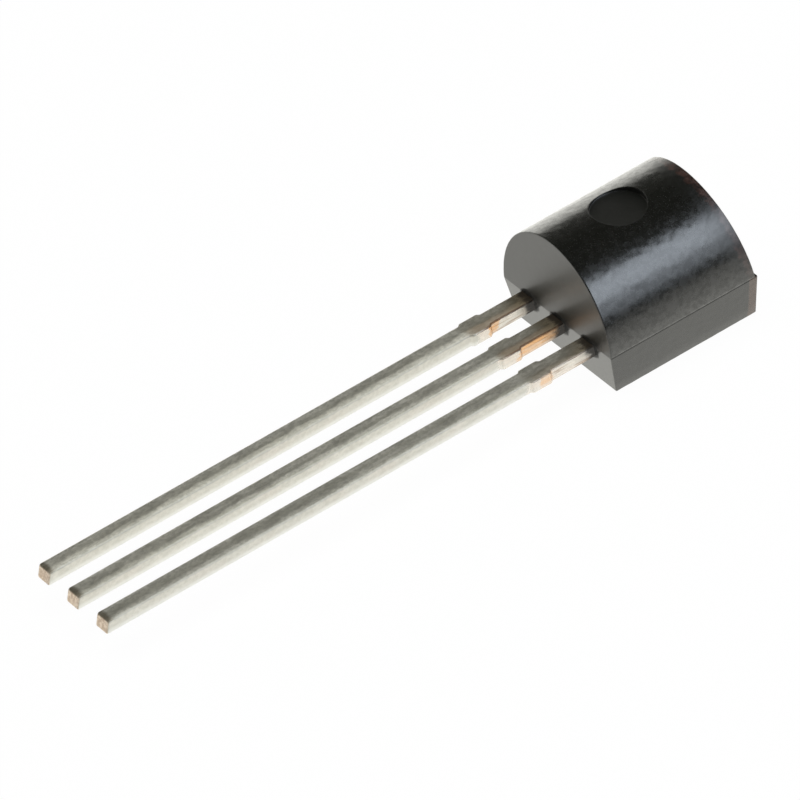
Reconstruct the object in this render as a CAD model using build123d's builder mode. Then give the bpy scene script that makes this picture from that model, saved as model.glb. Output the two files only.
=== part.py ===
import math
import os

from build123d import *

os.makedirs("parts", exist_ok=True)

# A three-lead moulded voltage regulator, lying on its flat face. Sizes are in millimetres.
# The flat face is on Z = 0 with the origin at its middle, and the leads run towards -X.

# Moulded body
body_length = 4.48
round_radius = 2.28
parting_height = 1.2
flat_width = 4.16
upper_end_setback = 0.19
lower_end_setback = 0.1
far_ledge = 0.07
mark_radius = 0.73
mark_depth = 0.17

# Leads outside the body
lead_pitch = 1.27
lead_width = 0.51
lead_thickness = 0.36
lead_length = 14.6
tip_slant = 0.12
stub_distance = 1.32
stub_length = 0.58
stub_height = 0.07

# Lead frame inside the body
post_distance = 0.85
post_length = 1.0
post_width = 1.05
frame_gap = 0.35
pad_width = 2.2
pad_end_cover = 0.58

# Chip and its wires
attach_thickness = 0.03
attach_margin = 0.06
die_setback = 0.36
die_length = 1.0
die_width = 0.9
die_thickness = 0.25
bond_inset = 0.13
bond_spacing = 0.28
wire_radius = 0.016
ball_radius = 0.042
ball_height = 0.024
foot_radius = 0.04
foot_height = 0.02
post_loop_height = 0.26
pad_loop_height = 0.16
loop_shoulder = 0.2
bend_radius = 0.08
pad_foot_inset = 0.13

# Reach of every cutting shape past what it cuts
overrun = 1.0

# Places that follow from the sizes
lead_end = -body_length / 2
far_end = body_length / 2
crown = parting_height + round_radius
lead_top = parting_height
lead_bottom = lead_top - lead_thickness
lead_tip = lead_end - lead_length
stub_start = lead_end - stub_distance
stub_end = stub_start - stub_length
post_start = lead_end + post_distance
post_end = post_start + post_length
post_middle = (post_start + post_end) / 2
pad_start = post_end + frame_gap
pad_end = far_end - pad_end_cover
die_start = pad_start + die_setback
die_middle = die_start + die_length / 2
attach_top = lead_top + attach_thickness
die_top = attach_top + die_thickness
bond_place = die_start + bond_inset
pad_foot_place = pad_start + pad_foot_inset


# One lead stamped from strip: plain to the stubs left by the cut tie bar, then plain again
# up to the broad part inside the body
def stamped_lead(name, middle, broad_start, broad_end, broad_width):
    half_lead = lead_width / 2
    half_stub = half_lead + stub_height
    near_edge = [
        (lead_tip, half_lead),
        (stub_end, half_lead),
        (stub_end, half_stub),
        (stub_start, half_stub),
        (stub_start, half_lead),
        (broad_start, half_lead),
        (broad_start, broad_width / 2),
        (broad_end, broad_width / 2),
    ]
    left_edge = [(along, middle + across) for along, across in near_edge]
    right_edge = [(along, middle - across) for along, across in reversed(near_edge)]
    with BuildPart() as lead:
        with BuildSketch(Plane.XY.offset(lead_bottom)):
            with BuildLine():
                Polyline(*left_edge, *right_edge, close=True)
            make_face()
        extrude(amount=lead_thickness)
        # The shear leaves the tip longer at the bottom
        with BuildSketch(Plane.XZ.offset(-middle)):
            with BuildLine():
                Polyline(
                    (lead_tip, lead_bottom),
                    (lead_tip + tip_slant, lead_top),
                    (broad_end, lead_top),
                    (broad_end, lead_bottom),
                    close=True,
                )
            make_face()
        extrude(amount=broad_width, both=True, mode=Mode.INTERSECT)
    lead.part.label = name
    export_step(lead.part, f"parts/{name}.step")
    return lead


# One bond wire: a ball on the die, a loop bent over a shoulder, and a pressed foot on the lead frame
def bond_wire(name, ball_place, foot_place, loop_height):
    run = foot_place[0] - ball_place[0]
    rise = foot_place[1] - ball_place[1]
    ball_middle = ball_height / 2
    foot_level = lead_top + wire_radius - die_top
    loop_plane = Plane((*ball_place, die_top), (run, rise, 0), (rise, -run, 0))
    with BuildPart() as wire:
        with BuildSketch(Plane((*ball_place, die_top))):
            Circle(ball_radius)
        extrude(amount=ball_height)
        with BuildSketch(Plane((*foot_place, lead_top))):
            Circle(foot_radius)
        extrude(amount=foot_height)
        with BuildLine(loop_plane) as loop:
            FilletPolyline(
                (0, ball_middle),
                (0, loop_height),
                (loop_shoulder, loop_height),
                (math.hypot(run, rise), foot_level),
                radius=bend_radius,
            )
        with BuildSketch(Plane((*ball_place, die_top + ball_middle))):
            Circle(wire_radius)
        sweep(path=loop.wire())
    wire.part.label = name
    export_step(wire.part, f"parts/{name}.step")
    return wire


# Outer leads end in bond posts, and the middle lead ends in the pad under the chip
output_lead = stamped_lead("output_lead", lead_pitch, post_start, post_end, post_width)
ground_lead = stamped_lead("ground_lead", 0, pad_start, pad_end, pad_width)
input_lead = stamped_lead("input_lead", -lead_pitch, post_start, post_end, post_width)

# Film of conductive glue between chip and pad
with BuildPart() as die_attach:
    with BuildSketch(Plane((die_middle, 0, lead_top))):
        Rectangle(die_length + 2 * attach_margin, die_width + 2 * attach_margin)
    extrude(amount=attach_thickness)
die_attach.part.label = "die_attach"
export_step(die_attach.part, "parts/die_attach.step")

# Silicon chip
with BuildPart() as die:
    with BuildSketch(Plane((die_middle, 0, attach_top))):
        Rectangle(die_length, die_width)
    extrude(amount=die_thickness)
die.part.label = "die"
export_step(die.part, "parts/die.step")

# Wires from the chip to the two posts and down to its own pad
output_wire = bond_wire(
    "output_wire", (bond_place, bond_spacing), (post_middle, lead_pitch), post_loop_height
)
input_wire = bond_wire(
    "input_wire", (bond_place, -bond_spacing), (post_middle, -lead_pitch), post_loop_height
)
ground_wire = bond_wire("ground_wire", (bond_place, 0), (pad_foot_place, 0), pad_loop_height)

# Moulded body, with room in it for everything it was moulded around
with BuildPart() as package_body:
    # Domed section above the parting plane, straight sides narrowing to the flat below it
    with BuildSketch(Plane.YZ):
        with BuildLine():
            CenterArc((0, parting_height), round_radius, 0, 180)
            Polyline(
                (-round_radius, parting_height),
                (-flat_width / 2, 0),
                (flat_width / 2, 0),
                (round_radius, parting_height),
            )
        make_face()
    extrude(amount=body_length / 2, both=True)
    # Both ends lean in from the parting plane, so that the mould could open, and at the far end the
    # lower half stands out past the upper one in a narrow ledge
    with BuildSketch(Plane.XZ):
        with BuildLine():
            Polyline(
                (lead_end + lower_end_setback, 0),
                (lead_end, parting_height),
                (lead_end + upper_end_setback, crown),
                (far_end - far_ledge - upper_end_setback, crown),
                (far_end - far_ledge, parting_height),
                (far_end, parting_height),
                (far_end - lower_end_setback, 0),
                close=True,
            )
        make_face()
    extrude(amount=round_radius + overrun, both=True, mode=Mode.INTERSECT)
    # Round ejector mark sunk into the crown
    with BuildSketch(Plane.XY.offset(crown - mark_depth)):
        Circle(mark_radius)
    extrude(amount=mark_depth + overrun, mode=Mode.SUBTRACT)
    for held in (output_lead, ground_lead, input_lead, die_attach, die, output_wire, input_wire, ground_wire):
        add(held.part, mode=Mode.SUBTRACT)
package_body.part.label = "package_body"
export_step(package_body.part, "parts/package_body.step")
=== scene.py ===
import math

import bmesh
import bpy
import numpy as np
from mathutils import Matrix, Vector


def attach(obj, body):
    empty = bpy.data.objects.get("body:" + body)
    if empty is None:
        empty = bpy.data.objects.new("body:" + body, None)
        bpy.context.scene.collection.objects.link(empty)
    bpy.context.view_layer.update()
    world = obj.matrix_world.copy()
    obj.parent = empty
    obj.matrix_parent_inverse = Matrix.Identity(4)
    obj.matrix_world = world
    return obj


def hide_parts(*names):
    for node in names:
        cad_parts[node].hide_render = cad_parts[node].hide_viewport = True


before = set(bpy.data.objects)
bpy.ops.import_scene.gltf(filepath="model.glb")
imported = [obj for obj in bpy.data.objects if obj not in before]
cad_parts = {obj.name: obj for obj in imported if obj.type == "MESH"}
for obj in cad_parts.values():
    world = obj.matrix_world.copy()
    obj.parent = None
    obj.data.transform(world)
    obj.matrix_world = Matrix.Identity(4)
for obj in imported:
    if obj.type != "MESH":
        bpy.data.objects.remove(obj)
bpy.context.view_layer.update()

print("frame loaded:", sorted(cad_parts))

# All sizes below are millimetres in the CAD frame; meshes are written in metres


# One output socket of a node tree. Sums on it add Math nodes.
class Socket:
    def __init__(self, tree, out=None):
        self.tree = tree
        self.out = out

    # Any node: its settings first, then its inputs, as values or as other sockets
    def node(self, kind, settings=None, inputs=None, output=0):
        made = self.tree.nodes.new(kind)
        for key, value in (settings or {}).items():
            setattr(made, key, value)
        for key, value in (inputs or {}).items():
            if isinstance(value, Socket):
                self.tree.links.new(value.out, made.inputs[key])
            else:
                made.inputs[key].default_value = value
        return Socket(self.tree, made.outputs[output])

    def sum(self, operation, *terms):
        return self.node("ShaderNodeMath", {"operation": operation}, dict(enumerate(terms)))

    def __add__(self, other):
        return self.sum("ADD", self, other)

    def __radd__(self, other):
        return self.sum("ADD", other, self)

    def __sub__(self, other):
        return self.sum("SUBTRACT", self, other)

    def __rsub__(self, other):
        return self.sum("SUBTRACT", other, self)

    def __mul__(self, other):
        return self.sum("MULTIPLY", self, other)

    def __rmul__(self, other):
        return self.sum("MULTIPLY", other, self)

    def __abs__(self):
        return self.sum("ABSOLUTE", self)

    # 0 below the low value, 1 above the high one, eased between; low may be the larger of the two
    def step(self, low, high):
        return self.node(
            "ShaderNodeMapRange",
            {"interpolation_type": "SMOOTHSTEP"},
            {"Value": self, "From Min": low, "From Max": high},
        )

    # Colour a where this is 0 and colour b where it is 1
    def blend(self, a, b):
        a, b = ((*c, 1) if isinstance(c, tuple) else c for c in (a, b))
        return self.node("ShaderNodeMix", {"data_type": "RGBA"}, {0: self, 6: a, 7: b}, 2)

    def parts(self):
        split = self.node("ShaderNodeSeparateXYZ", None, {0: self})
        return [Socket(self.tree, out) for out in split.out.node.outputs]

    def stretched(self, x, y, z):
        return self.node("ShaderNodeVectorMath", {"operation": "MULTIPLY"}, {0: self, 1: (x, y, z)})

    # Cloudy noise from 0 to 1 about a half, with so many lumps to the millimetre
    def lumps(self, scale, detail=3, rough=0.5):
        inputs = {"Vector": self, "Scale": scale, "Detail": detail, "Roughness": rough}
        return self.node("ShaderNodeTexNoise", None, inputs)

    # Such noise from a dictionary: how it is squeezed along X, Y and Z, if at all, and then its own values
    def pattern(self, squeeze, *noise):
        return (self.stretched(*squeeze) if squeeze else self).lumps(*noise)


# A material with its shader, and its surface place in millimetres
def newFinish(name):
    material = bpy.data.materials.new(name)
    material.use_nodes = True
    tree = material.node_tree
    shader = next(n for n in tree.nodes if n.type == "BSDF_PRINCIPLED")
    place = Socket(tree).node("ShaderNodeTexCoord", None, None, "Object").stretched(1000, 1000, 1000)
    return material, shader, place


def feed(shader, **inputs):
    for key, value in inputs.items():
        socket = shader.inputs[key.replace("_", " ")]
        if isinstance(value, Socket):
            shader.id_data.links.new(value.out, socket)
        else:
            socket.default_value = value


# Relief for the Normal socket, its depth in millimetres
def bump(height, depth):
    inputs = {"Height": height, "Strength": 1.0, "Distance": depth / 1000}
    return height.node("ShaderNodeBump", None, inputs, "Normal")


# Quads of a stack of closed rings, each ring joined to the next
def ringQuads(rings, around):
    row = np.arange(rings - 1)[:, None] * around
    here = np.arange(around)[None, :]
    after = (here + 1) % around
    return np.stack([row + here, row + after, row + around + after, row + around + here], -1)


# How near points merge, in metres, and from what angle an edge shades sharp, in degrees
meshing = {"merge": 1e-7, "crease": 55}


# A smooth closed mesh from points and quads; points that fall together become one
def newPiece(name, points, quads, material, slotName, *nodes):
    used, quads = np.unique(quads, return_inverse=True)
    points = points.reshape(-1, 3)[used] / 1000
    mesh = bpy.data.meshes.new(name)
    mesh.from_pydata(points.tolist(), [], quads.reshape(-1, 4).tolist())
    joined = bmesh.new()
    joined.from_mesh(mesh)
    bmesh.ops.remove_doubles(joined, verts=joined.verts, dist=meshing["merge"])
    joined.to_mesh(mesh)
    joined.free()
    mesh.shade_smooth()
    mesh.set_sharp_from_angle(angle=math.radians(meshing["crease"]))
    mesh.materials.append(material)
    piece = bpy.data.objects.new(name, mesh)
    bpy.context.scene.collection.objects.link(piece)
    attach(piece, "root")
    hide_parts(*nodes)
    print("piece", name, len(mesh.polygons), "faces")


# Moulded body
package = {
    # Shape, as in the CAD
    "halfLength": 2.24,
    "radius": 2.28,
    "parting": 1.2,
    "flatHalf": 2.08,
    "lean": 0.19 / 2.28,
    "farLedge": 0.07,
    "markRadius": 0.73,
    "markDepth": 0.17,
    # Fine shape
    "edge": 0.03,
    "seamHalf": 0.016,
    "seamFlat": 0.002,
    "seamDepth": 0.014,
    "markLip": 0.014,
    "markFillet": 0.02,
    "waves": 48,
    "waveSeed": 11,
    "wavePitch": (0.13, 0.3),
    "waveSlope": 0.02,
    # Grid: half the window round the mark, numbers of steps, and shares of the way over each flat
    "markWindow": 1.1,
    "markSteps": 56,
    "flankSteps": 61,
    "endSteps": 28,
    "sideSteps": 28,
    "footSteps": 7,
    "rimSteps": 8,
    "lipSteps": 7,
    "support": 0.012,
    "flatShares": (0.02, 0.2, 0.5, 0.8, 0.98),
    "capShares": (0, 0.01, 0.25, 0.5, 0.75, 0.92, 0.985),
    "circleShares": (0.15, 0.4, 0.7, 0.95, 1.0),
    "floorShares": (0.97, 0.75, 0.5, 0.25, 0),
    # Finish: each colour is a pair that a pattern mixes
    "black": ((0.0046, 0.0047, 0.0038), (0.0084, 0.0085, 0.0070)),
    "rimBrown": ((0.012, 0.007, 0.0055), (0.045, 0.021, 0.016)),
    "lowerRimBrown": ((0.065, 0.036, 0.024), (0.12, 0.07, 0.047)),
    # Patterns: squeeze along X, Y and Z, lumps to the millimetre, detail and roughness
    "cloud": ((0.8, 1, 1), 3.0, 5, 0.62),
    "mottle": (None, 6, 4, 0.6),
    "speckle": (None, 7, 3, 0.6),
    "grain": (None, 26, 3, 0.6),
    "ragged": (None, 5, 4, 0.6),
    # Where they show
    "bandWidth": 0.19,
    "lowerBandMore": 0.07,
    "seamBlur": 0.02,
    "pocketShift": 0.04,
    "pocketHeight": 1.04,
    "pocketHalf": (0.38, 0.3),
    "pocketRag": 0.8,
    "pocketBlur": (1.25, 0.75),
    "markBlur": (0.04, 0.01),
    "markHeight": (3.0, 3.2),
    "dullReach": (0.9, 0.0),
    "footReach": (0.35, 0.05),
    "farDomeReach": (0.2, 0.9),
    # Shine
    "roughness": 0.26,
    "ior": 2.0,
    "coatRoughness": 0.18,
    "reliefDepth": 0.003,
}


# Black compound, clouded and mottled, duller on the end face, in the mark and round the leads. The coat is
# the shiny skin that the mould leaves.
def packageFinish():
    material, shader, place = newFinish("black mould compound")
    x, y, z = place.parts()
    parting, blur = package["parting"], package["seamBlur"]
    leanIn = abs(z - parting) * package["lean"]
    fromNear = x + package["halfLength"] - leanIn
    lower = z.step(parting + blur, parting - blur)
    fromFar = package["halfLength"] - x - leanIn - (1 - lower) * package["farLedge"]
    endFace = fromNear.step(package["edge"], 0.0)
    lowerSide = lower * (1 - endFace)
    markOuter, markInner = ((package["markRadius"] + k) ** 2 for k in package["markBlur"])
    markFloor = (x * x + y * y).step(markOuter, markInner) * z.step(*package["markHeight"])

    cloud = place.pattern(*package["cloud"])
    mottle = place.pattern(*package["mottle"])
    speckle = place.pattern(*package["speckle"]).step(0.34, 0.66)
    grain = place.pattern(*package["grain"])
    ragged = place.pattern(*package["ragged"])

    # An oval pocket round each lead: 1 on its outline, less inside
    halfAcross, halfUp = package["pocketHalf"]
    across = y + package["pocketShift"]
    beside = y.sum("MINIMUM", abs(across), abs(abs(across) - leads["pitch"])) * (1 / halfAcross)
    above = (z - package["pocketHeight"]) * (1 / halfUp)
    fromLead = beside * beside + above * above
    pocket = (fromLead + (ragged - 0.5) * package["pocketRag"]).step(*package["pocketBlur"]) * endFace

    # The skin is browner in a ragged band along the far rim
    bandEnd = package["bandWidth"] + lower * package["lowerBandMore"]
    bandEnd = bandEnd + (ragged - 0.5) * (0.5 - lower * 0.42)
    farBand = (fromFar - bandEnd).step(0.06 - lower * 0.04, -0.02)
    farBand = farBand * (0.15 + fromFar.step(0.0, package["edge"]) * 0.85)
    brown = speckle.blend(*package["rimBrown"])
    brown = lower.blend(brown, mottle.blend(*package["lowerRimBrown"]))
    tint = farBand.blend(cloud.blend(*package["black"]), brown)

    rough = package["roughness"] + (cloud - 0.5) * 0.12
    rough = rough + (speckle - 0.5) * 0.09 * (1 - endFace) + endFace * 0.17
    dull = (fromFar + (ragged - 0.5) * 0.8).step(*package["dullReach"]) * (1 - lower)
    rough = rough + markFloor * 0.2 + pocket * 0.5 + dull * 0.16

    foot = z.step(*package["footReach"])
    farDome = y.step(*package["farDomeReach"]) * (1 - endFace) * (1 - lowerSide)
    skin = 0.2 + speckle * (0.9 - endFace * 0.88 - lowerSide * 0.75)
    skin = skin + (cloud - 0.5) * 0.3 - markFloor * 0.7
    skin = skin + farDome * 0.6 + endFace * (0.05 + lower * 0.55)
    skin = skin - pocket * 0.6 - lowerSide * (0.25 - foot * 0.5)

    relief = bump(mottle * (1 - endFace * 0.85) + grain * 0.05, package["reliefDepth"])
    feed(shader, Base_Color=tint, Roughness=rough, IOR=package["ior"])
    feed(shader, Coat_Weight=skin, Coat_Roughness=package["coatRoughness"], Normal=relief)
    return material


# Ring of the body's section in Y and Z: an arc above the parting line, straight sides to the flat,
# with a nick at the seam. inset shrinks it sideways and base lifts its flat.
def packageRing(inset, base):
    radius = package["radius"] - inset
    parting = package["parting"]
    slope = (package["radius"] - package["flatHalf"]) / parting
    tilt = math.atan(slope)
    foot, support = package["edge"], package["support"]
    start = package["seamHalf"] / package["radius"]
    spread = math.asin(package["markWindow"] / package["radius"])
    theta = np.concatenate([
        np.linspace(start, math.pi / 2 - spread, package["flankSteps"] + 1)[:-1],
        np.linspace(math.pi / 2 - spread, math.pi / 2 + spread, package["markSteps"] + 1),
        np.linspace(math.pi / 2 + spread, math.pi - start, package["flankSteps"] + 1)[1:],
    ])
    domeY, domeZ = radius * np.cos(theta), parting + radius * np.sin(theta)
    seamY, seamUp = radius - package["seamDepth"], parting + package["seamFlat"] + 0 * radius
    seamDown = 2 * parting - seamUp
    domeY = np.concatenate([seamY, domeY, -seamY], 1)
    domeZ = np.concatenate([seamUp, domeZ, seamUp], 1)
    # Right half from the flat up: foot arc, side, seam
    cornerY = radius - (parting - base) * slope
    reach = foot / math.tan((math.pi / 2 + tilt) / 2)
    turn = np.linspace(-math.pi / 2, -tilt, package["footSteps"])
    footY = cornerY - reach + foot * np.cos(turn)
    footZ = base + foot + foot * np.sin(turn)
    up = np.concatenate([[support], np.linspace(0, 1, package["sideSteps"])[1:-1], [1 - support, 1]])
    topZ = parting - package["seamHalf"]
    sideZ = footZ[:, -1:] + (topZ - footZ[:, -1:]) * up
    sideY = radius - (parting - sideZ) * slope
    rightY = np.concatenate([footY, sideY, seamY], 1)
    rightZ = np.concatenate([footZ, sideZ, seamDown], 1)
    flatY = -footY[:, :1] + 2 * footY[:, :1] * np.array(package["flatShares"])
    flatZ = base + 0 * flatY
    ringY = np.concatenate([domeY, -rightY[:, ::-1], flatY, rightY], 1)
    ringZ = np.concatenate([domeZ, rightZ[:, ::-1], flatZ, rightZ], 1)
    return ringY, ringZ


# The moulded skin is faintly wavy: points move out from the body's axis by a sum of sine waves that run in
# random directions, each as high as its length times one slope
def rippled(points):
    chance = np.random.default_rng(package["waveSeed"])
    heading = chance.normal(size=(3, package["waves"]))
    number = 2 * math.pi / chance.uniform(*package["wavePitch"], package["waves"])
    phase = chance.uniform(0, 2 * math.pi, package["waves"])
    swing = np.sin(points @ (heading / np.linalg.norm(heading, axis=0) * number) + phase) / number
    height = package["waveSlope"] * math.sqrt(2 / package["waves"]) * swing.sum(1, keepdims=True)
    outward = (points - (0, 0, package["parting"])) * (0, 1, 1)
    return points + height * outward / package["radius"]


# The body: that ring carried along X. Each end plane leans in with height from the parting line, and at the
# far end the part above that line stands back by the ledge. The end rings shrink to a point on the line, and
# at each rim the ring's inset and its distance from the end follow a quarter circle.
def packageBody():
    half, edge, window, steps = (package[k] for k in ("halfLength", "edge", "markWindow", "markSteps"))
    turn = np.radians(np.linspace(0, 90, package["rimSteps"]))[:, None]
    gap, inset = edge * (1 - np.cos(turn)), edge * (1 - np.sin(turn))
    cap = np.array(package["capShares"])[:, None]
    span = np.concatenate([[package["support"]], np.linspace(0, 1, package["endSteps"])[1:-1]])[:, None]
    level = np.linspace(-window, window, steps + 1)[:, None]

    def leaned(z):
        return half - package["lean"] * abs(z - package["parting"])

    def shrunk(share):
        ringY, ringZ = packageRing(edge + 0 * share, edge + 0 * share)
        return ringY * share, package["parting"] + (ringZ - package["parting"]) * share

    ringY, ringZ = packageRing(np.zeros((1, 1)), np.zeros((1, 1)))
    ledge = np.where(ringZ > package["parting"], package["farLedge"], 0)
    capY, capZ = shrunk(cap)
    rimY, rimZ = packageRing(inset, inset)
    nearX, farX = edge - leaned(ringZ), leaned(ringZ) - ledge - edge
    nearRun, farRun = nearX + (-window - nearX) * span, window + (farX - window) * (1 - span[::-1])
    blocks = [(-leaned(capZ), capY, capZ), (gap - leaned(rimZ), rimY, rimZ)]
    blocks += [(run, ringY + 0 * run, ringZ + 0 * run) for run in (nearRun, level + 0 * ringZ, farRun)]
    blocks.append((leaned(rimZ[::-1]) - ledge - gap[::-1], rimY[::-1], rimZ[::-1]))
    blocks.append((leaned(capZ[::-1]) - ledge, capY[::-1], capZ[::-1]))
    skin = np.concatenate([np.stack(b, -1) for b in blocks])
    quads = ringQuads(*skin.shape[:2])

    # Ejector mark: a square window of the grid gives way to rings that pass from the square to a circle,
    # over a rounded lip, down the wall, round a fillet and across the floor to the middle
    row, column = len(cap) + len(turn) + len(span), package["flankSteps"] + 1
    kept = np.ones(quads.shape[:2], bool)
    kept[row:row + steps, column:column + steps] = False
    panel = skin[row:row + steps + 1, column:column + steps + 1]
    border = np.concatenate([panel[:-1, 0], panel[-1, :-1], panel[:0:-1, -1], panel[0, :0:-1]])
    border = border[np.argsort(np.arctan2(border[:, 1], border[:, 0]))]
    angle = np.arctan2(border[:, 1], border[:, 0])
    reach = np.hypot(border[:, 0], border[:, 1])
    radius, lip, fillet = package["markRadius"], package["markLip"], package["markFillet"]
    floorZ = package["parting"] + package["radius"] - package["markDepth"]

    def domeZ(out):
        return package["parting"] + np.sqrt(package["radius"] ** 2 - (out * np.sin(angle)) ** 2)

    quarter = np.radians(np.linspace(0, 90, package["lipSteps"]))[:, None]
    outs = [reach + (radius + lip - reach) * np.array(package["circleShares"])[:, None]]
    heights = [domeZ(outs[0])]
    outs.append(radius + lip * (1 - np.sin(quarter)) + 0 * angle)
    heights.append(domeZ(outs[1]) - lip * (1 - np.cos(quarter)))
    outs.append(radius - fillet * (1 - np.cos(quarter)) + 0 * angle)
    heights.append(floorZ + fillet * (1 - np.sin(quarter)) + 0 * angle)
    outs.append((radius - fillet) * np.array(package["floorShares"])[:, None] + 0 * angle)
    heights.append(floorZ + 0 * outs[3])
    out, height = np.concatenate(outs), np.concatenate(heights)
    mark = np.stack([out * np.cos(angle), out * np.sin(angle), height], -1)
    mark = np.concatenate([border[None], mark])
    markQuads = ringQuads(*mark.shape[:2]) + skin.shape[0] * skin.shape[1]
    points = rippled(np.concatenate([skin.reshape(-1, 3), mark.reshape(-1, 3)]))
    faces = np.concatenate([quads[kept], markQuads.reshape(-1, 4)])
    newPiece("packageBody", points, faces, packageFinish(), "mould_compound", "package_body")


# Leads: stamped strip, plated before the tie bar was cut away, so its stubs and the tips are bare
leads = {
    # Shape, as in the CAD; places are along X
    "pitch": 1.27,
    "halfWidth": 0.255,
    "halfThick": 0.18,
    "top": 1.2,
    "bodyEnd": -2.24,
    "tip": -16.84,
    "slant": 0.12,
    "stubNear": -3.56,
    "stubFar": -4.14,
    "stubOut": 0.07,
    # Fine shape and grid
    "edge": 0.05,
    "tipEdge": 0.05,
    "stubRamp": 0.1,
    "cornerSteps": 7,
    "tipSteps": 6,
    "rampSteps": 6,
    "runSteps": 60,
    "runMargin": 0.3,
    "capShares": (0, 0.5, 0.9),
    "flatShares": (0.05, 0.95),
    "broadMargin": 0.01,
    "broadStep": 0.002,
    # Finish: a pair of colours is mixed by a pattern
    "tin": ((0.75, 0.735, 0.675), (0.89, 0.87, 0.80)),
    "pinkTin": (0.87, 0.79, 0.72),
    # Warm lighter tone on the tops, partly painted sheen
    "paintedSheenTopTin": (1.0, 0.965, 0.84),
    "oliveTin": (0.52, 0.505, 0.385),
    "fleckTin": (0.46, 0.445, 0.37),
    # Painted highlight on the lower half of each side
    "paintedFootHighlight": (1.0, 0.995, 0.965),
    "thinTin": ((1.0, 0.94, 0.86), (1.0, 0.88, 0.78)),
    "copper": (1.0, 0.57, 0.27),
    "scratched": (0.34, 0.19, 0.10),
    "tipFace": ((0.98, 0.84, 0.70), (0.74, 0.59, 0.46)),
    # Painted shade on the top by the tip
    "tipTopShade": (0.15, 0.12, 0.07),
    "ridge": (0.85, 0.80, 0.64),
    # Copper brown of the upper edges by the body, darkened as painted shade
    "brownEdgeAndShade": (0.17, 0.085, 0.055),
    "tan": (0.29, 0.165, 0.08),
    # Painted shade on the sides by the body
    "bodyShade": (0.12, 0.085, 0.055),
    # A dull film on the tops, darker by the body as painted shade
    "filmAndShade": (0.27, 0.22, 0.14),
    # Resin flash by the body, darkened as painted shade
    "resinAndShadeColour": (0.022, 0.017, 0.012),
    # Patterns, as for the body
    "blotch": ((0.8, 1.6, 1.6), 2.4, 4, 0.6),
    "patch": ((0.7, 1.3, 1.3), 1.3, 3),
    "drawn": ((0.5, 14, 14), 1.5, 3),
    "line": ((0.12, 7, 1), 1.0, 2),
    "grain": (None, 30, 3, 0.6),
    "fleck": ((0.7, 1, 1), 11, 3, 0.65),
    "ragged": ((0.6, 1, 1), 4, 4, 0.65),
    "streak": ((1.5, 6, 13), 1.1, 4, 0.6),
    "scratch": ((0.8, 3, 17), 1.2, 3),
    # How far sideways or upwards a surface faces that counts as side, level side, upper edge or top
    "sideFacing": (0.45, 0.75),
    "levelFacing": (0.8, 0.97),
    "ridgeFacing": (0.15, 0.35),
    "topFacing": (0.3, 0.7),
    # Where along X each finish comes in, the first two from the tip
    "tipFaceReach": (0.3, 0.2),
    "tipTopShadeReach": (0.32, 0.18),
    "scratchReach": (-3.7, -3.3),
    "tanReach": (-4.25, -3.95),
    "bodyShadeReach": (-2.95, -2.5),
    "filmReach": (-4.3, -4.1),
    "filmShadeReach": (-3.1, -2.5),
    # How far from the middle of the body the flare in the relief starts, and how it rises
    "flareReach": 3.5,
    "flareRise": 65,
    "reliefDepth": 0.0014,
}
# For each lead, the ends and half width of its broad part in the body, where along X its copper is bare and
# how bare, where the thin plating beyond it ends, how far resin and painted shade run out along it, how brown
# its upper edge and the near side of its top are there and how dark the painted shade on its edge and sides,
# how bright the near side of its top is and how dull the film on the top by the body, with its painted shade
leadKinds = {
    "outputLead": {
        "node": "output_lead", "middle": 1.27, "broad": (-1.39, -0.39, 0.525),
        "bare": (-3.3, -3.68), "bareShare": 1.0, "thin": -4.0,
        "resinAndShade": 0.19, "brownEdgeAndShade": 0.8, "sheen": 0.9, "filmAndShade": 0.45,
    },
    "groundLead": {
        "node": "ground_lead", "middle": 0.0, "broad": (-0.04, 1.66, 1.1),
        "bare": (-2.0, -3.65), "bareShare": 1.0, "thin": -4.2,
        "resinAndShade": 0.18, "brownEdgeAndShade": 0.9, "sheen": 0.7, "filmAndShade": 0.45,
    },
    "inputLead": {
        "node": "input_lead", "middle": -1.27, "broad": (-1.39, -0.39, 0.525),
        "bare": (-3.52, -3.9), "bareShare": 0.6, "thin": -4.25,
        "resinAndShade": 0.2, "brownEdgeAndShade": 0.4, "sheen": 0.4, "filmAndShade": 0.35,
    },
}
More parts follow.
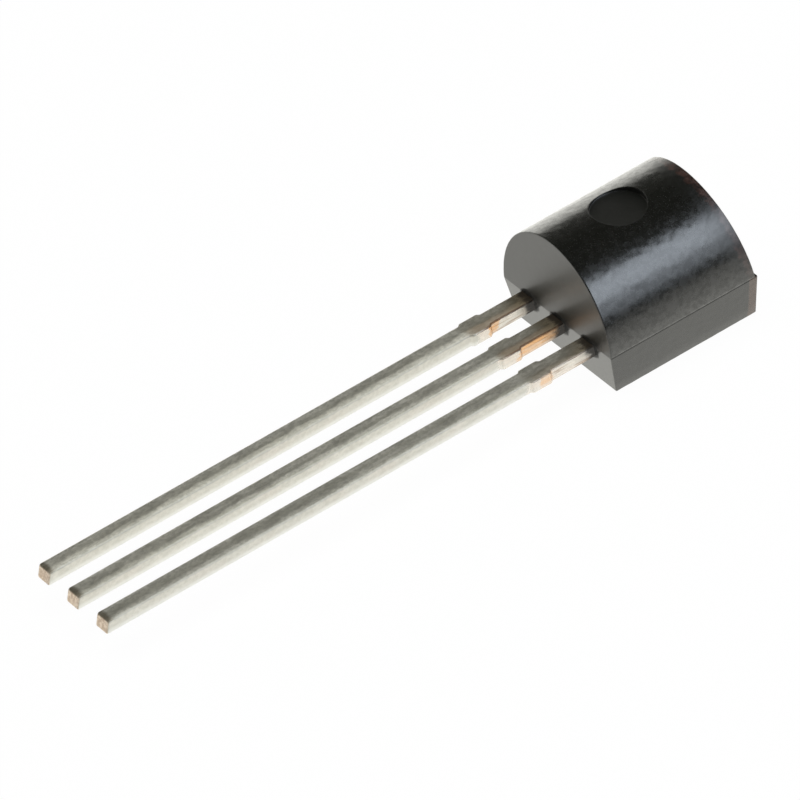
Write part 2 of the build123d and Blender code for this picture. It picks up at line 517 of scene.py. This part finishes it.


# Blotched and flecked tin, thin or gone on the sides by the body, with resin and painted shade where the lead
# comes out
def leadFinish(name, kind):
    material, shader, place = newFinish("tinned copper of the " + name)
    x, y, z = place.parts()
    facing = place.node("ShaderNodeNewGeometry", None, None, "Normal").parts()
    patterns = ("blotch", "patch", "drawn", "line", "grain")
    blotch, patch, drawn, line, grain = (place.pattern(*leads[k]) for k in patterns)
    fleck = place.pattern(*leads["fleck"]).step(0.4, 0.6)
    ragged = place.pattern(*leads["ragged"]) - 0.5
    streak = place.pattern(*leads["streak"]).step(0.42, 0.58)

    # Parts of the surface: the sides and the level middle of them, the rest, the upper edges and the tip
    sideways = abs(facing[1])
    side = sideways.step(*leads["sideFacing"])
    level = sideways.step(*leads["levelFacing"])
    flat = 1 - side
    ridge = sideways.step(*leads["ridgeFacing"]) * facing[2].step(0.0, 0.3) * (1 - level)
    tipFace = x.step(*(leads["tip"] + reach for reach in leads["tipFaceReach"]))
    tipFace = (0 - facing[0]).step(0.5, 0.8) * tipFace
    tipTopShade = (x + ragged * 0.2).step(*(leads["tip"] + reach for reach in leads["tipTopShadeReach"]))
    tipTopShade = tipTopShade * facing[2].step(*leads["topFacing"])
    along = x + (blotch - 0.5) * 0.5 + (grain - 0.5) * 0.15
    across = kind["middle"] - y

    tin = blotch.step(0.25, 0.75).blend(*leads["tin"])
    tin = (patch.step(0.45, 0.75) * 0.3).blend(tin, leads["pinkTin"])
    # Tops tinted warmer and lifted lighter, more on leads with more sheen; the lift is painted sheen
    tin = (flat * (0.2 + kind["sheen"] * 0.45)).blend(tin, leads["paintedSheenTopTin"])
    olive = line.step(0.4, 0.6) * 0.25 + (across + ragged * 0.2).step(-0.16, -0.04) * 0.25
    tin = (flat * olive).blend(tin, leads["oliveTin"])
    tin = (fleck * (0.5 - side * 0.32)).blend(tin, leads["fleckTin"])
    # The lower half of each side is painted near-white: a painted highlight
    tin = (side * z.step(1.02, 0.9) * (0.75 + ragged * 0.6)).blend(tin, leads["paintedFootHighlight"])

    # Thin plating, bare copper and scratches by the body, and the sheared tip with painted shade on the top
    # by it
    worn = side * along.step(kind["thin"] - 0.1, kind["thin"] + 0.1)
    thin = patch.step(0.35, 0.65).blend(*leads["thinTin"])
    colour = (worn * (0.5 + 0.4 * streak)).blend(tin, thin)
    nearEnd, farEnd = kind["bare"]
    sheared = along.step(farEnd - 0.04, farEnd + 0.04) * along.step(nearEnd + 0.05, nearEnd - 0.05)
    bare = side * sheared * (0.6 + 0.4 * streak) * (0.45 + z.step(0.86, 1.04) * 0.55)
    colour = (bare * kind["bareShare"]).blend(colour, leads["copper"])
    scratch = place.pattern(*leads["scratch"]).step(0.55, 0.64)
    scratch = scratch * side * along.step(*leads["scratchReach"])
    colour = (scratch * 0.55).blend(colour, leads["scratched"])
    colour = tipFace.blend(colour, fleck.blend(*leads["tipFace"]))
    # The top by the tip is darkened: painted shade of its rolled edge
    colour = (tipTopShade * 0.75).blend(colour, leads["tipTopShade"])

    # Pale upper edges that turn brown and darker by the body, the darkness painted shade, then tan, painted
    # shade, film and resin there
    colour = (ridge * 0.3).blend(colour, leads["ridge"])
    # Upper edges by the body: copper brown, darkened as painted shade
    brownEdgeAndShade = ridge * along.step(kind["thin"] - 0.1, kind["thin"] + 0.4) * kind["brownEdgeAndShade"]
    colour = brownEdgeAndShade.blend(colour, leads["brownEdgeAndShade"])
    tanned = (across + ragged * 0.2).step(-0.02, 0.14) * flat * along.step(*leads["tanReach"])
    colour = (tanned * kind["brownEdgeAndShade"] * 0.7).blend(colour, leads["tan"])
    # Sides darkened by the body: painted shade
    bodyShade = side * along.step(*leads["bodyShadeReach"]) * kind["brownEdgeAndShade"]
    colour = (bodyShade * 0.65).blend(colour, leads["bodyShade"])
    # A dull film from the stubs inwards, with further darkening by the body that is painted shade
    filmAndShade = along.step(*leads["filmReach"]) * 0.7 + along.step(*leads["filmShadeReach"]) * 1.3
    colour = (filmAndShade * flat * kind["filmAndShade"]).blend(colour, leads["filmAndShade"])
    # Resin flash where the lead comes out, darkened further as painted shade
    resinAndShadeEnd = leads["bodyEnd"] - kind["resinAndShade"]
    resinAndShade = (along + ragged * 0.6).step(resinAndShadeEnd - 0.18, resinAndShadeEnd + 0.12)
    colour = (resinAndShade * 0.97).blend(colour, leads["resinAndShadeColour"])

    sheen = (across + ragged * 0.3 + kind["sheen"] * 0.1).step(0.12, 0.24) * flat * kind["sheen"]
    metal = (0.75 + (0.5 - blotch) * 0.3 - worn * 0.1 - sheen * 0.4) * (1 - resinAndShade)
    rough = 0.40 + (blotch - 0.5) * 0.3 + (drawn - 0.5) * 0.15
    rough = rough + (tipFace + ridge) * 0.15 - worn * level * 0.3
    # Rolled skin, and a slight flare towards the body
    flare = x.sum("MAXIMUM", x + leads["flareReach"], 0)
    relief = grain * 0.6 + drawn * 0.8 + blotch * 3 + fleck + flare * flare * leads["flareRise"]
    relief = bump(relief, leads["reliefDepth"])
    feed(shader, Base_Color=colour, Roughness=rough, Metallic=metal, Normal=relief)
    return material


# A lead: a rectangle with rounded corners carried along X. Its half width steps out at the stubs and at the
# broad part in the body, and the tip plane leans so that the bottom is longer.
def leadPiece(name, kind):
    half, edge, tipEdge = leads["halfThick"], leads["edge"], leads["tipEdge"]
    broadStart, broadEnd, broadHalf = kind["broad"]
    turn = np.radians(np.linspace(0, 90, leads["cornerSteps"]))
    corner = np.concatenate([turn + k * math.pi / 2 for k in range(4)])
    signY = np.repeat([1, -1, -1, 1], len(turn))
    signZ = np.repeat([1, 1, -1, -1], len(turn))

    def ring(width, inset):
        ringY = signY * (width - inset - edge) + edge * np.cos(corner)
        ringZ = signZ * (half - inset - edge) + edge * np.sin(corner)
        return ringY, ringZ

    # Two more points on each flat keep its shading level
    def supported(ringY, ringZ):
        sides = np.stack([ringY, ringZ], -1).reshape(len(ringY), 4, len(turn), 2)
        after = np.roll(sides[:, :, 0], -1, 1)[:, :, None]
        last = sides[:, :, -1:]
        sides = np.concatenate([sides] + [last + (after - last) * share for share in leads["flatShares"]], 2)
        flat = sides.reshape(len(ringY), -1, 2)
        return flat[..., 0], flat[..., 1]

    width, out, ramp, runSteps = (leads[k] for k in ("halfWidth", "stubOut", "stubRamp", "runSteps"))
    near, far, margin = leads["stubNear"], leads["stubFar"], leads["runMargin"]
    broadMargin, broadStep = leads["broadMargin"], leads["broadStep"]
    rise = np.linspace(0, 1, leads["rampSteps"])
    ease = rise * rise * (3 - 2 * rise)
    stations = np.concatenate([
        np.linspace(leads["tip"] + margin, far - margin, runSteps),
        far - ramp / 2 + ramp * rise,
        near - ramp / 2 + ramp * rise,
        [leads["bodyEnd"], broadStart - broadMargin, broadStart],
        [broadStart + broadStep, broadStart + broadMargin, broadEnd - broadMargin, broadEnd],
    ])
    widths = np.concatenate([
        np.full(runSteps, width),
        width + out * ease,
        width + out * ease[::-1],
        np.full(3, width),
        np.full(4, broadHalf),
    ])

    def tipX(ringZ):
        return leads["tip"] + leads["slant"] * (ringZ + half) / (2 * half)

    share = np.array(leads["capShares"])[:, None]
    roll = np.radians(np.linspace(0, 90, leads["tipSteps"]))[:, None]
    capY, capZ = supported(*ring(width, np.full((1, 1), tipEdge)))
    blocks = [(tipX(capZ * share), capY * share, capZ * share)]
    rimY, rimZ = supported(*ring(width, tipEdge * (1 - np.sin(roll))))
    blocks.append((tipX(rimZ) + tipEdge * (1 - np.cos(roll)), rimY, rimZ))
    runY, runZ = supported(*ring(widths[:, None], np.zeros((len(widths), 1))))
    blocks.append((stations[:, None] + 0 * runY, runY, runZ))
    back = share[::-1]
    blocks.append((broadEnd + 0 * runY[-1:] * back, runY[-1:] * back, runZ[-1:] * back))
    skin = np.concatenate([np.stack(b, -1) for b in blocks])
    skin = skin + np.array([0, kind["middle"], leads["top"] - half])
    quads = ringQuads(*skin.shape[:2])
    newPiece(name, skin, quads, leadFinish(name, kind), "tinned_copper", kind["node"])


packageBody()
for name, kind in leadKinds.items():
    leadPiece(name, kind)

# Chip, glue and wires stay as the CAD made them, hidden in the body
chip = {
    "cells": 7.0, "street": 0.012, "cellWidth": 0.9, "cellHeight": 0.35, "offset": 0.37, "squash": 0.7,
    "metal": (0.62, 0.60, 0.56), "oxide": ((0.055, 0.075, 0.10), (0.09, 0.07, 0.12)), "reliefDepth": 0.001,
}
glue = {
    "flakes": 38.0, "silver": ((0.66, 0.65, 0.62), (0.36, 0.355, 0.34)), "metallic": 0.75,
    "reliefDepth": 0.002,
}
wire = {"gold": ((0.93, 0.66, 0.27), (1.0, 0.76, 0.36)), "reliefDepth": 0.0004}


# Metal tracks between cells of tinted oxide
def chipFinish():
    material, shader, place = newFinish("silicon with metal tracks")
    tracks = place.node(
        "ShaderNodeTexBrick",
        {"offset": chip["offset"], "squash": chip["squash"]},
        {
            "Vector": place, "Scale": chip["cells"], "Mortar Size": chip["street"],
            "Brick Width": chip["cellWidth"], "Row Height": chip["cellHeight"],
        },
        1,
    )
    haze = place.lumps(5, 3)
    metal = tracks.step(0.4, 0.6)
    colour = metal.blend(haze.blend(*chip["oxide"]), chip["metal"])
    relief = bump(tracks, chip["reliefDepth"])
    feed(shader, Base_Color=colour, Metallic=metal * 0.9, Roughness=0.12 + haze * 0.16, Normal=relief)
    return material


# Silver flakes in resin
def glueFinish():
    material, shader, place = newFinish("silver filled glue")
    inputs = {"Vector": place, "Scale": glue["flakes"]}
    flake = place.node("ShaderNodeTexVoronoi", {"feature": "F1"}, inputs)
    lump = place.lumps(9, 3)
    colour = flake.step(0.1, 0.6).blend(*glue["silver"])
    relief = bump(flake + lump, glue["reliefDepth"])
    feed(shader, Base_Color=colour, Metallic=glue["metallic"], Roughness=0.42 + lump * 0.2, Normal=relief)
    return material


# Gold with fine drawing lines
def wireFinish():
    material, shader, place = newFinish("drawn gold")
    haze = place.lumps(14, 3)
    line = place.stretched(4, 40, 40).lumps(1, 2)
    colour = haze.blend(*wire["gold"])
    relief = bump(line, wire["reliefDepth"])
    feed(shader, Base_Color=colour, Metallic=1.0, Roughness=0.16 + line * 0.14, Normal=relief)
    return material


hiddenFinishes = {"die": chipFinish(), "die_attach": glueFinish()}
gold = wireFinish()
hiddenFinishes.update({node: gold for node in ("output_wire", "input_wire", "ground_wire")})
for node, material in hiddenFinishes.items():
    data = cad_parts[node].data
    data.materials.clear()
    data.materials.append(material)
print("hidden nodes finished:", sorted(hiddenFinishes))

# Stage: a white floor, white that rises a little behind it, a dark room, a soft box in two parts at the
# camera's right, and an even fill from above that leaves no reflection
stage = {
    # Lengths in metres
    "floorHalf": 8.0, "floorPoints": 9, "floorDrop": 0.00002, "white": 0.95, "backdropShare": 0.97,
    # The floor in reflections: near, middle and far, and where along Y each change runs, in millimetres
    "nearFloor": (1.0, 0.993, 0.93), "midFloor": (0.52, 0.516, 0.484), "farFloor": (0.22, 0.218, 0.205),
    "greying": ((-1.5, -8.0), (-11.0, -40.0)),
    "seenBy": ("Is Camera Ray", "Is Glossy Ray", "Is Transmission Ray"),
    # The room: its own colour, the azimuth of the white in degrees, and how far that reaches
    "room": (0.02, 0.0203, 0.0165), "back": 65.0, "backSpread": (0.0, 0.6),
    "whiteTop": (0.38, 0.1), "whiteShare": 0.97, "hazeTop": (0.85, 0.3), "haze": 0.06,
}


# The floor: a square grid just under the flat face
def floorPiece():
    count = stage["floorPoints"]
    spot = np.linspace(-stage["floorHalf"], stage["floorHalf"], count)
    x, y = np.meshgrid(spot, spot, indexing="ij")
    points = np.stack([x, y, 0 * x - stage["floorDrop"]], -1).reshape(-1, 3)
    row = np.arange(count - 1)[:, None] * count + np.arange(count - 1)[None, :]
    quads = np.stack([row, row + count, row + count + 1, row + 1], -1).reshape(-1, 4)
    mesh = bpy.data.meshes.new("floor")
    mesh.from_pydata(points.tolist(), [], quads.tolist())
    floor = bpy.data.objects.new("floor", mesh)
    bpy.context.scene.collection.objects.link(floor)
    material, shader, place = newFinish("white floor")
    tree = material.node_tree
    feed(shader, Base_Color=(stage["white"],) * 3 + (1,), Roughness=0.9, Specular_IOR_Level=0.0)
    ray = Socket(tree).node("ShaderNodeLightPath")
    camera, glossy, through = (Socket(tree, ray.out.node.outputs[k]) for k in stage["seenBy"])
    seen = ray.sum("MAXIMUM", ray.sum("MAXIMUM", camera, glossy), through) * stage["backdropShare"]
    # In reflections the floor glows a warm white that greys off towards the camera's right: painted shade in
    # that glow
    toMid, toFar = (place.parts()[1].step(*reach) for reach in stage["greying"])
    warm = toFar.blend(toMid.blend(stage["nearFloor"], stage["midFloor"]), stage["farFloor"])
    glow = ray.node("ShaderNodeEmission", None, {"Color": glossy.blend((1.0, 1.0, 1.0), warm)})
    both = ray.node("ShaderNodeMixShader", None, {0: seen, 1: Socket(tree, shader.outputs[0]), 2: glow})
    output = next(n for n in tree.nodes if n.type == "OUTPUT_MATERIAL")
    tree.links.new(both.out, output.inputs["Surface"])
    mesh.materials.append(material)


# Room light: dark above, with white that rises behind the object and fades out upwards and to the sides
def roomLight():
    world = bpy.data.worlds.new("room")
    bpy.context.scene.world = world
    world.use_nodes = True
    tree = world.node_tree
    skyX, skyY, skyZ = Socket(tree).node("ShaderNodeTexCoord", None, None, "Generated").parts()
    back = math.radians(stage["back"])
    behind = skyX * math.cos(back) + skyY * math.sin(back)
    white = skyZ.step(*stage["whiteTop"]) * stage["whiteShare"]
    glow = behind.step(*stage["backSpread"]) * (white + skyZ.step(*stage["hazeTop"]) * stage["haze"])
    background = next(n for n in tree.nodes if n.type == "BACKGROUND")
    tree.links.new(glow.blend(stage["room"], stage["nearFloor"]).out, background.inputs["Color"])


# Angles in degrees, lengths in metres
lamps = {
    "softBox": {
        "azimuth": -60.0, "height": 41.5, "distance": 0.5, "wide": 0.4, "tall": 0.222,
        "watts": 0.68, "colour": (0.82, 0.90, 1.0), "reflected": True,
    },
    "softBoxFoot": {
        "azimuth": -60.0, "height": 20.0, "distance": 0.5, "wide": 0.4, "tall": 0.16,
        "watts": 0.19, "colour": (0.82, 0.90, 1.0), "reflected": True,
    },
    "fill": {
        "azimuth": 0.0, "height": 90.0, "distance": 0.9, "wide": 0.9, "tall": 0.9,
        "watts": 8.0, "colour": (1.0, 1.0, 0.99), "reflected": False,
    },
}


def lampAt(name, kind):
    turn, up = math.radians(kind["azimuth"]), math.radians(kind["height"])
    away = Vector((math.cos(up) * math.cos(turn), math.cos(up) * math.sin(turn), math.sin(up)))
    data = bpy.data.lights.new(name, "AREA")
    data.shape = "RECTANGLE"
    data.size, data.size_y = kind["wide"], kind["tall"]
    data.energy = kind["watts"]
    data.color = kind["colour"]
    lamp = bpy.data.objects.new(name, data)
    bpy.context.scene.collection.objects.link(lamp)
    lamp.location = away * kind["distance"]
    lamp.rotation_euler = away.to_track_quat("Z", "Y").to_euler()
    lamp.visible_glossy = kind["reflected"]


# Camera: angles in degrees and place in metres, fitted to the edges of the photographed object
view = {
    "azimuth": 61.8227, "dip": 38.7029, "roll": 11.0705,
    "place": (-0.1235939, -0.2177298, 0.1993091),
    "sensor": 36, "focalShare": 13000 / 800, "clipStart": 0.01,
}


def viewCamera():
    turn, dip, roll = (math.radians(view[k]) for k in ("azimuth", "dip", "roll"))
    ahead = Vector((math.cos(dip) * math.cos(turn), math.cos(dip) * math.sin(turn), -math.sin(dip)))
    right = ahead.cross(Vector((0, 0, 1))).normalized()
    down = ahead.cross(right)
    across = math.cos(roll) * right + math.sin(roll) * down
    below = math.cos(roll) * down - math.sin(roll) * right
    axes = Matrix((across, -below, -ahead)).transposed().to_4x4()
    data = bpy.data.cameras.new("camera")
    data.sensor_width = view["sensor"]
    data.lens = view["sensor"] * view["focalShare"]
    data.clip_start = view["clipStart"]
    camera = bpy.data.objects.new("camera", data)
    bpy.context.scene.collection.objects.link(camera)
    camera.matrix_world = Matrix.Translation(view["place"]) @ axes
    bpy.context.scene.camera = camera


floorPiece()
roomLight()
for name, kind in lamps.items():
    lampAt(name, kind)
viewCamera()
bpy.context.scene.view_settings.view_transform = "Standard"
print("stage, lights and camera set")
